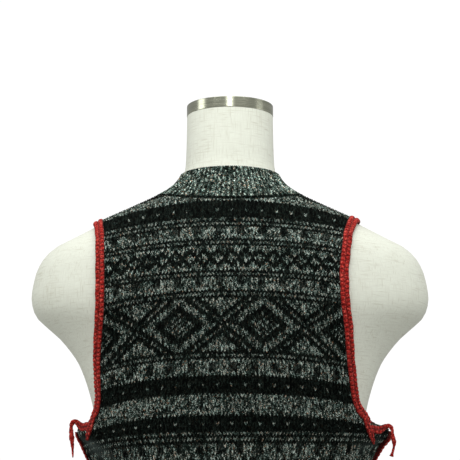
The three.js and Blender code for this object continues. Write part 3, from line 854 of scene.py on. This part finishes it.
# Wool for knitting, in two yarns: a soft black, and a grey marl spun from black and pale fibres, so that
# bright and dark flecks lie side by side. A few flecks are brown or green. Low and high give the painted
# shade down in the stitches and the painted highlight on their tops.
def spun_wool(name, spread, low, high):
    material, tree, surface = new_material(name)
    place = add_node(tree, "ShaderNodeTexCoord")
    kind = add_node(tree, "ShaderNodeAttribute", {"attribute_name": "yarn"})
    parts = add_node(tree, "ShaderNodeSeparateColor", _0=kind.outputs["Color"])
    depth = add_node(tree, "ShaderNodeAttribute", {"attribute_name": "relief"})
    fibres = add_node(
        tree, "ShaderNodeTexNoise", Vector=place.outputs["Object"], Scale=800, Detail=2, Roughness=0.75,
    )
    cells = add_node(tree, "ShaderNodeTexVoronoi", Vector=place.outputs["Object"], Scale=640)
    chance = add_node(tree, "ShaderNodeSeparateColor", _0=cells.outputs["Color"])
    spot = add_node(
        tree, "ShaderNodeMapRange", Value=cells.outputs["Distance"], From_Min=0.15, From_Max=0.5,
        To_Min=1, To_Max=0,
    )
    lit = add_node(tree, "ShaderNodeMath", {"operation": "POWER"}, _0=chance.outputs[0], _1=2.0)
    bright = add_node(
        tree, "ShaderNodeMath", {"operation": "MULTIPLY"}, _0=spot.outputs[0], _1=lit.outputs[0],
    )
    speckled = add_node(
        tree, "ShaderNodeMath", {"operation": "MULTIPLY_ADD"}, _0=bright.outputs[0], _1=0.28 * spread,
        _2=fibres.outputs["Fac"],
    )
    fleck = add_node(
        tree, "ShaderNodeMath", {"operation": "MULTIPLY_ADD"}, _0=parts.outputs[1], _1=0.22 * spread,
        _2=speckled.outputs[0],
    )
    marl = add_node(tree, "ShaderNodeValToRGB", Fac=fleck.outputs[0])
    stops(marl, [(0.52, "040706"), (0.62, "27312d"), (0.71, "61706a"), (0.84, "f6faf4")])
    black = add_node(tree, "ShaderNodeValToRGB", Fac=fleck.outputs[0])
    stops(black, [(0.58, "010302"), (1.0, "39423d")])
    grey = add_node(
        tree, "ShaderNodeMix", {"data_type": "RGBA"}, _0=parts.outputs[0], _6=black.outputs["Color"],
        _7=marl.outputs["Color"],
    )
    tint = add_node(tree, "ShaderNodeValToRGB", Fac=chance.outputs[1])
    stops(tint, [(0.0, "d89a76"), (0.14, "f4ede2"), (0.5, "eef6f1"), (1.0, "cdeae4")])
    tinted = add_node(
        tree, "ShaderNodeMix", {"data_type": "RGBA", "blend_type": "MULTIPLY"}, _0=1.0,
        _6=grey.outputs[2], _7=tint.outputs["Color"],
    )
    # Painted highlight: pale grey-blue where light catches the folds under the arms.
    fold_highlighted = add_node(
        tree, "ShaderNodeMix", {"data_type": "RGBA"}, _0=parts.outputs[2], _6=tinted.outputs[2],
        _7=linear("66736f"),
    )
    # Painted shade and highlight: the colour is darker down in the stitches and lighter on their tops.
    sunk = add_node(tree, "ShaderNodeMapRange", Value=depth.outputs["Fac"], To_Min=low, To_Max=high)
    shaded = add_node(
        tree, "ShaderNodeVectorMath", {"operation": "SCALE"}, _0=fold_highlighted.outputs[2],
        Scale=sunk.outputs[0],
    )
    tree.links.new(shaded.outputs[0], surface.inputs["Base Color"])
    fuzz = add_node(tree, "ShaderNodeBump", Height=fibres.outputs["Fac"], Strength=0.5, Distance=0.0005)
    tree.links.new(fuzz.outputs["Normal"], surface.inputs["Normal"])
    surface.inputs["Roughness"].default_value = 0.95
    surface.inputs["Specular IOR Level"].default_value = 0.05
    return material


knit_wool = spun_wool("fair_isle_wool", 1.05, 0.38, 1.05)
knitted_back = make_panel("back_panel_piece", "back_panel", False, BACK_FOLDS, 11, knit_wool)

# ---- Front panel ----
# The same two wools and the same charts as the back, worked flat, with a lower neck. It is
# joined to the back along the shoulders.

knitted_front = make_panel("front_panel_piece", "front_panel", True, FRONT_FOLDS, 12, knit_wool)

# ---- Side bindings ----
# Down each side the back and front are joined by a strip of red crochet, worked from the
# hem to the underarm. It stands a little proud of the knitting.

CROCHET_PITCH = 5.2
CROCHET_STEP = 0.65
CROCHET_RISE = 1.3
BINDING_TOP_Z = 402.5
HEM_Z = 75
# Across the strip: distance from its middle line, height, stitch shape. 1 and -1 are two
# lines of stitches that lie half a stitch apart.
BINDING_PROFILE = [
    (-6.2, 4.6, 0.2), (-5.2, 5.6, 0.8), (-3.2, 6.1, 1), (-1.2, 5.6, 0.6), (0, 5.1, 0), (1.2, 5.6, -0.6),
    (3.2, 6.1, -1), (5.2, 5.6, -0.8), (6.2, 4.6, -0.2), (4.2, 4.2, 0), (4.2, 2.4, 0), (0, 2.2, 0),
    (-4.2, 2.4, 0), (-4.2, 4.2, 0),
]


def evenly_along(points, step, closed):
    ring = np.vstack([points, points[:1]]) if closed else points
    run = run_length(ring)
    count = int(run[-1] / step)
    places = np.linspace(0, run[-1], count, endpoint=not closed)
    return np.stack([np.interp(places, run, ring[:, n]) for n in range(3)], 1), run[-1] / count


def smoothed(points, times, closed):
    for _ in range(times):
        before, after = np.roll(points, 1, 0), np.roll(points, -1, 0)
        soft = (before + 2 * points + after) / 4
        points = soft if closed else np.vstack([points[:1], soft[1:-1], points[-1:]])
    return points


# A strip of crochet swept along a line on the cloth.
def crochet(line, step, side, normal, profile, widen, closed):
    along = np.arange(len(line)) * step
    off, rise, kind = np.array(profile).T
    phase = along[:, None] / CROCHET_PITCH + np.where(kind < 0, 0.5, 0)
    hump = np.abs(np.sin(np.pi * phase)) ** 0.7
    wobble = 0.12 * np.sin(along / 3.1) + 0.1 * np.sin(along / 7.3 + 1)
    height = rise + CROCHET_RISE * np.abs(kind) * (hump - 0.6) + np.abs(kind) * wobble[:, None]
    wide = off * widen[:, None] * (1 + 0.03 * np.sin(along / 4.3)[:, None])
    points = line[:, None] + wide[..., None] * side[:, None] + height[..., None] * normal[:, None]
    folds = np.where(line[:, 1] < 0, fold_height(line, BACK_FOLDS), fold_height(line, FRONT_FOLDS))
    points = (points + (folds[:, None] * normal)[:, None]).reshape(-1, 3)
    faces = facing_out(points, ring_faces(len(line), len(profile), closed))
    relief = np.where(np.abs(kind) > 0, 0.25 + 0.75 * hump * np.abs(kind), 0.15)
    return points, faces, relief.ravel()


def make_binding(name, node, sign, shift, lift):
    z = np.arange(HEM_Z, BINDING_TOP_Z, CROCHET_STEP)
    line = vest_point(np.full(len(z), sign * 90.0), z)
    line, step = evenly_along(line, CROCHET_STEP, False)
    side = np.tile((0.0, 1.0, 0.0), (len(line), 1))
    normal = np.cross(np.gradient(line, axis=0), side)
    normal = unit(normal * np.sign(normal[:, :1]) * sign)
    profile = [
        (off + shift * (off < 0), rise + lift * (rise > 4), kind)
        for off, rise, kind in BINDING_PROFILE
    ]
    points, faces, relief = crochet(line, step, side, normal, profile, np.ones(len(line)), False)
    binding = make_piece(name, points, faces, red_wool)
    set_relief(binding, relief)
    stand_in(binding, node)
    return binding


left_binding = make_binding("side_trim_left_piece", "side_trim_left", -1, -0.5, 1.5)
right_binding = make_binding("side_trim_right_piece", "side_trim_right", 1, -5.5, 2.5)

# ---- Armhole edgings ----
# Round each armhole goes a band of red crochet, two lines of stitches wide. The back run
# ends in a short tongue that is sewn down on the panel below the underarm.

# Across the edging: distance from the panel's edge, height, stitch shape.
EDGING_PROFILE = [
    (-2.0, 4.5, 0.2), (-1.2, 5.5, 0.8), (0.8, 6.2, 1), (2.6, 5.9, 0.8), (3.7, 5.1, 0.1),
    (4.9, 5.8, -0.8), (6.7, 6.1, -1), (8.5, 5.4, -0.9), (9.5, 4.2, -0.5), (9.2, 2.9, -0.1),
    (7.5, 2.3, 0), (4, 2.1, 0), (0.6, 2.1, 0), (0.6, 4.2, 0),
]
TONGUE_PROFILE = [
    (-3.9, 4.6, 0.1), (-3.1, 5.9, 0.8), (-1.6, 6.5, 1), (0, 6.0, 0), (1.6, 6.5, -1), (3.1, 5.9, -0.8),
    (3.9, 4.6, -0.1), (0, 4.4, 0),
]
# Side to side place and height of the middle of each tongue, and its width there; then the
# same for the strap that runs from the tongue to the tie.
LEFT_TONGUE = [
    (-151.5, 426, 1.1), (-154, 418.5, 1.2), (-156.8, 411, 1.2), (-159.5, 404, 1.15),
    (-161.3, 397.5, 0.95), (-162.5, 391, 0.5),
]
LEFT_STRAP = [(-160, 404, 1.0), (-166, 404.5, 1.35), (-171.5, 405, 1.35)]
RIGHT_TONGUE = [
    (148.5, 423.5, 1.1), (153, 416, 1.2), (156, 408.7, 1.2), (158.7, 402, 1.15), (161.8, 395.4, 1.0),
    (164.5, 387, 0.45),
]
RIGHT_STRAP = [(160, 401.5, 0.9), (166, 401, 1.2), (173, 400.8, 1.35)]
# Side to side place, share of its width: the edging tapers off under the arm, where the
# strap takes over from it. On the front it does so only at the seam.
EDGING_TAPER = np.array([(156, 1), (165, 0.15), (200, 0.15)], float)
FRONT_TAPER = np.array([(168, 1), (180, 0.35), (200, 0.15)], float)
TAPER_SMOOTHING = 40
TAPER_SINK = 3.2
TAPER_INSET = 2.5
STRIP_RINGS = 60
STRAP_HEIGHT = 5
STRAP_LEAN = 1.2
# How much wider the edging is where it is gathered over the shoulder, and low down.
KNOB_WIDTH = 0.15
KNOB_REACH = 9
LOW_WIDTH = 0.08
LOW_HEIGHTS = (440, 520)


def armhole_run(sign, is_front):
    panel = lay_panel(is_front)
    turn_at, edge = panel["body"][sign]
    z = LEVELS[LEVELS > UNDERARM_Z]
    limit = np.interp(z, LEVELS, edge)
    turn = between(turn_at[..., None], (LEVELS[0], 0), (LEVELS[-1], WIDEST), z, limit)[..., 0]
    body = vest_point(sign * np.where(is_front, 180 - turn, turn), z)
    lengths, places = panel["edges"][sign]
    yoke = between(panel["grid"], (0, 0), (PLACES[-1], LONGEST), places, lengths) * (sign, 1, 1)
    return np.concatenate([body, yoke[1:]])


def at_back(x, z):
    turns = np.linspace(0, 90, 181)
    points = vest_point(np.sign(x) * turns, np.full(181, float(z)))
    return [np.interp(abs(x), np.abs(points[:, 0]), points[:, n]) for n in (0, 1)] + [z]


# A short strip of crochet on the back, from the places of its middle line and its widths.
# A strap goes on from there to the tie's first point, sunk by the height of its own stitches,
# and faces more squarely backwards than the cloth under it.
def crochet_strip(places, tie_start):
    points = [at_back(x, z) for x, z, _ in places]
    widths = [width for _, _, width in places]
    lean = np.zeros(3)
    if tie_start is not None:
        lean = np.array((0, -STRAP_LEAN, 0))
        end = np.array(tie_start, float)
        points.append(end - STRAP_HEIGHT * unit(outward(end) * (1, 1, 0) + lean))
        widths.append(0.8)
    line = smooth_route(points, STRIP_RINGS)
    widths = np.interp(np.linspace(0, 1, STRIP_RINGS), np.linspace(0, 1, len(widths)), widths)
    normal = outward(line)
    if tie_start is not None:
        normal = unit(normal * (1, 1, 0) + lean)
    side = unit(np.cross(unit(np.gradient(line, axis=0)), normal))
    step = run_length(line)[-1] / (STRIP_RINGS - 1)
    return crochet(line, step, side, normal, TONGUE_PROFILE, widths, False)


def make_edging(name, node, sign, tongue, strap, tie_start):
    loop = np.concatenate([armhole_run(sign, False), armhole_run(sign, True)[::-1][1:]])
    loop = smoothed(evenly_along(loop, 1.5, True)[0], 4, True)
    line, step = evenly_along(loop, CROCHET_STEP, True)
    ahead = unit(np.roll(line, -1, 0) - np.roll(line, 1, 0))
    normal = outward(line)
    side = unit(np.cross(ahead, normal))
    middle = line.mean(0) + (sign * 30, 0, 0)
    if np.sum(side * (middle - line)) < 0:
        side = -side
    out = np.abs(line[:, 0])
    share = np.where(line[:, 1] < 0, np.interp(out, *EDGING_TAPER.T), np.interp(out, *FRONT_TAPER.T))
    share = smoothed(share, TAPER_SMOOTHING, True)
    knob = np.exp(-(((line[:, 2] - SHOULDER_POINT_Z[sign]) / KNOB_REACH) ** 2))
    sunk = (1 - share)[:, None] * (TAPER_SINK * normal + TAPER_INSET * side)
    low = np.interp(line[:, 2], LOW_HEIGHTS, (1, 0))
    wide = share + KNOB_WIDTH * knob + LOW_WIDTH * low * (share > 0.9)
    made = [
        crochet(line - sunk, step, side, normal, EDGING_PROFILE, wide, True),
        crochet_strip(tongue, None), crochet_strip(strap, tie_start),
    ]
    points, faces, relief = [], [], []
    for more, more_faces, more_relief in made:
        faces += [[n + len(points) for n in f] for f in more_faces]
        points += list(more)
        relief += list(more_relief)
    edging = make_piece(name, points, faces, red_wool)
    set_relief(edging, relief)
    stand_in(edging, node)
    return edging


left_edging = make_edging(
    "armhole_trim_left_piece", "armhole_trim_left", -1, LEFT_TONGUE, LEFT_STRAP, LEFT_TIE_ROUTE[0],
)
right_edging = make_edging(
    "armhole_trim_right_piece", "armhole_trim_right", 1, RIGHT_TONGUE, RIGHT_STRAP, RIGHT_TIE_ROUTE[0],
)

# ---- Neckband ----
# A ring of one and one rib in grey marl, picked up round the neck and worked upwards, with
# a plain cast-off edge. It leans in round the form's neck like a low funnel.

RIB_WIDTH = 6.7
RIB_DEPTH = 1.9
RIB_FACE = 2.9
BAND_TOP_BACK_Z = 711
BAND_TOP_FRONT_Z = 668
BAND_FALL_START = 0.4
BAND_COURSES = 14
BAND_LINING_ROWS = 6
# Across one rib: place, whether it is a leg, how far its courses are shifted up, height.
RIB_COLUMNS = [
    (0, False, 0.5, 0.0), (0.2, False, 0.5, 0.35), (0.36, True, 0.3, 1.0), (0.5, False, 0.0, 0.62),
    (0.64, True, 0.3, 1.0), (0.8, False, 0.5, 0.35),
]


def rib_columns(first, last):
    columns = [
        (rib + at, is_leg, lean, rise)
        for rib in range(first, last) for at, is_leg, lean, rise in RIB_COLUMNS
    ]
    return columns + [(last, False, 0.5, 0.0)]


# The seam round the neck as one ring, with how far round each point is: 0 is the middle of
# the back and 1 the middle of the front.
def neck_ring():
    angle = np.linspace(-90, 90, 721)
    runs = []
    for is_front, middle in ((False, NECK_BACK_Z), (True, NECK_FRONT_Z)):
        x = NECK_HALF * np.sin(np.radians(angle))
        z = NECK_POINT_Z - (NECK_POINT_Z - middle) * np.cos(np.radians(angle))
        line = np.stack([x, depth_at(x, z, is_front), z], 1)
        share = run_length(line)
        share /= share[-1]
        toward = np.abs(share - 0.5) if not is_front else 1 - np.abs(share - 0.5)
        runs.append((line, toward))
    back, front = runs
    line = np.concatenate([back[0], front[0][::-1][1:]])
    return line, np.concatenate([back[1], front[1][::-1][1:]])


def make_neckband():
    line, toward = neck_ring()
    run = run_length(line)
    ribs = round(run[-1] / RIB_WIDTH)
    columns = rib_columns(0, ribs)

    def wear_band(across, course):
        low = np.stack([np.interp(across / ribs * run[-1], run, line[:, n]) for n in range(3)], -1)
        to_front = np.interp(across / ribs * run[-1], run, toward)
        fall = np.clip((to_front - BAND_FALL_START) / (1 - BAND_FALL_START), 0, 1)
        top = BAND_TOP_BACK_Z + (BAND_TOP_FRONT_Z - BAND_TOP_BACK_Z) * (1 - np.cos(np.pi * fall)) / 2
        z = low[..., 2] + (top - low[..., 2]) * np.clip(course / BAND_COURSES, 0.01, 1.02)
        half, back, front, power = vest_size(z)
        depth = np.where(low[..., 1] < 0, back, front)
        reach = (np.abs(low[..., 0]) / half) ** power + (np.abs(low[..., 1]) / depth) ** power
        scale = reach ** (-1 / power)
        return np.stack([low[..., 0] * scale, low[..., 1] * scale, z], -1)

    across, course, height, faces, owner = knit(columns, 0, BAND_COURSES)
    course = -course
    worn = wear_band(across, course)
    random = np.random.default_rng(21)
    out = RIB_FACE + RIB_DEPTH * height * (1 + 0.06 * random.standard_normal(len(height)))
    points = worn + outward(worn) * out[:, None]
    per_end = BAND_COURSES + 1
    last = len(points) - per_end
    faces = np.where(faces >= last, faces - last, faces)
    points, height = points[:last], height[:last]
    rows, wide = BAND_LINING_ROWS, ribs * 2
    lining_across, lining_course = np.meshgrid(np.arange(wide) / 2, np.linspace(0, BAND_COURSES, rows))
    lining = wear_band(lining_across.ravel(), lining_course.ravel())
    lining = lining + outward(lining) * CLOTH_INNER
    squares = grid_squares(rows, wide, True)
    column, step = owner.T
    leg = random.random((len(columns) + 1, BAND_COURSES))[column // 3, step]
    yarn = np.where(step == 0, YARNS["k"], YARNS["g"])
    fold_highlight = np.zeros(len(faces))
    return make_shell(
        "neckband_piece", points, faces, height, lining, squares, yarn, leg, fold_highlight, False, rib_wool,
    )


# The same grey marl yarn, a little softer, and paler on the ribs: a strong painted highlight on their
# ridges and painted shade between them.
rib_wool = spun_wool("ribbed_marl_wool", 0.78, 0.4, 2.75)
neckband = make_neckband()
stand_in(neckband, "neckband")

# ---- Hem ribs ----
# The same one and one rib in grey marl at the bottom of the back and of the front, 60 mm
# deep. The side bindings run on down over their ends.

HEM_COURSES = 19
HEM_LINING_ROWS = 8
HEM_LEVELS = np.arange(HEM_Z, HEM_TOP_Z, 1.0)


def make_hem(name, node, is_front, seed):
    sides = {sign: lay_body(sign, is_front, HEM_LEVELS) for sign in (-1, 1)}
    half = float(np.mean([sides[sign][1].mean() for sign in (-1, 1)]))
    ribs = round(half / RIB_WIDTH)
    columns = rib_columns(-ribs, ribs)

    def wear_hem(across, course):
        z = HEM_Z + (HEM_TOP_Z - 0.6 - HEM_Z) * np.clip(course / HEM_COURSES, 0, 1)
        points = np.zeros(across.shape + (3,))
        for side in (-1, 1):
            turn_at, edge = sides[side]
            far = np.abs(across) / ribs * np.interp(z, HEM_LEVELS, edge)
            turn = between(
                turn_at[..., None], (HEM_LEVELS[0], 0), (HEM_LEVELS[-1], WIDEST), z, far,
            )[..., 0]
            turn = side * np.where(is_front, 180 - turn, turn)
            points = np.where(((across < 0) == (side < 0))[..., None], vest_point(turn, z), points)
        return points

    across, course, height, faces, owner = knit(columns, 0, HEM_COURSES)
    worn = wear_hem(across, -course)
    random = np.random.default_rng(seed)
    out = RIB_FACE + RIB_DEPTH * height * (1 + 0.06 * random.standard_normal(len(height)))
    points = worn + outward(worn) * out[:, None]
    lining_across, lining_course = np.meshgrid(
        np.arange(-ribs, ribs + 0.5, 0.5), np.linspace(0, HEM_COURSES, HEM_LINING_ROWS),
    )
    rows, wide = lining_across.shape
    lining = wear_hem(lining_across.ravel(), lining_course.ravel())
    lining = lining + outward(lining) * CLOTH_INNER
    squares = grid_squares(rows, wide, False)
    column, step = owner.T
    leg = random.random((len(columns) + 1, HEM_COURSES))[column // 3, step]
    yarn = np.full(len(faces), YARNS["g"])
    fold_highlight = np.zeros(len(faces))
    hem = make_shell(
        name, points, faces, height, lining, squares, yarn, leg, fold_highlight, is_front, rib_wool,
    )
    stand_in(hem, node)
    return hem


back_hem = make_hem("hem_rib_back_piece", "hem_rib_back", False, 31)
front_hem = make_hem("hem_rib_front_piece", "hem_rib_front", True, 32)

# ---- Floor and light ----
# A pale floor and a white surround, with one broad light high behind the form, a softer one
# from each side and a small one that the steel cap reflects.

bpy.ops.mesh.primitive_plane_add(size=8)
floor = bpy.context.object
floor.name = "floor"
paint, tree, surface = new_material("pale_floor_paint")
surface.inputs["Base Color"].default_value = linear("b9b9b6")
surface.inputs["Roughness"].default_value = 0.8
floor.data.materials.append(paint)


def add_light(name, place, aim, width, height, power):
    bpy.ops.object.light_add(type="AREA", location=place)
    light = bpy.context.object
    light.name = name
    light.data.shape = "RECTANGLE"
    light.data.size = width
    light.data.size_y = height
    light.data.energy = power
    away = np.array(place) - np.array(aim)
    pitch = math.atan2(math.hypot(away[0], away[1]), away[2])
    light.rotation_euler = (pitch, 0, math.atan2(away[0], -away[1]))


add_light("high_light", (0.0, -0.6, 1.4), (0, 0, 0.62), 1.5, 0.6, 10)
add_light("left_light", (-2.0, -0.3, 0.85), (0, 0, 0.6), 0.7, 1.6, 7.4)
add_light("right_light", (2.0, -0.2, 0.55), (0, 0, 0.55), 0.8, 1.4, 6)
add_light("strip_light", (-0.03, -2.3, 1.37), (0, 0, 0.8), 0.55, 0.4, 3.0)

world = bpy.data.worlds.new("surround")
world.use_nodes = True
bpy.context.scene.world = world
tree = world.node_tree
surround = tree.nodes["Background"]
seen = add_node(tree, "ShaderNodeLightPath")
level = add_node(
    tree, "ShaderNodeMapRange", Value=seen.outputs["Is Camera Ray"], To_Min=0.37, To_Max=1.05,
)
tree.links.new(level.outputs[0], surround.inputs["Strength"])
surround.inputs["Color"].default_value = (1, 1, 1, 1)
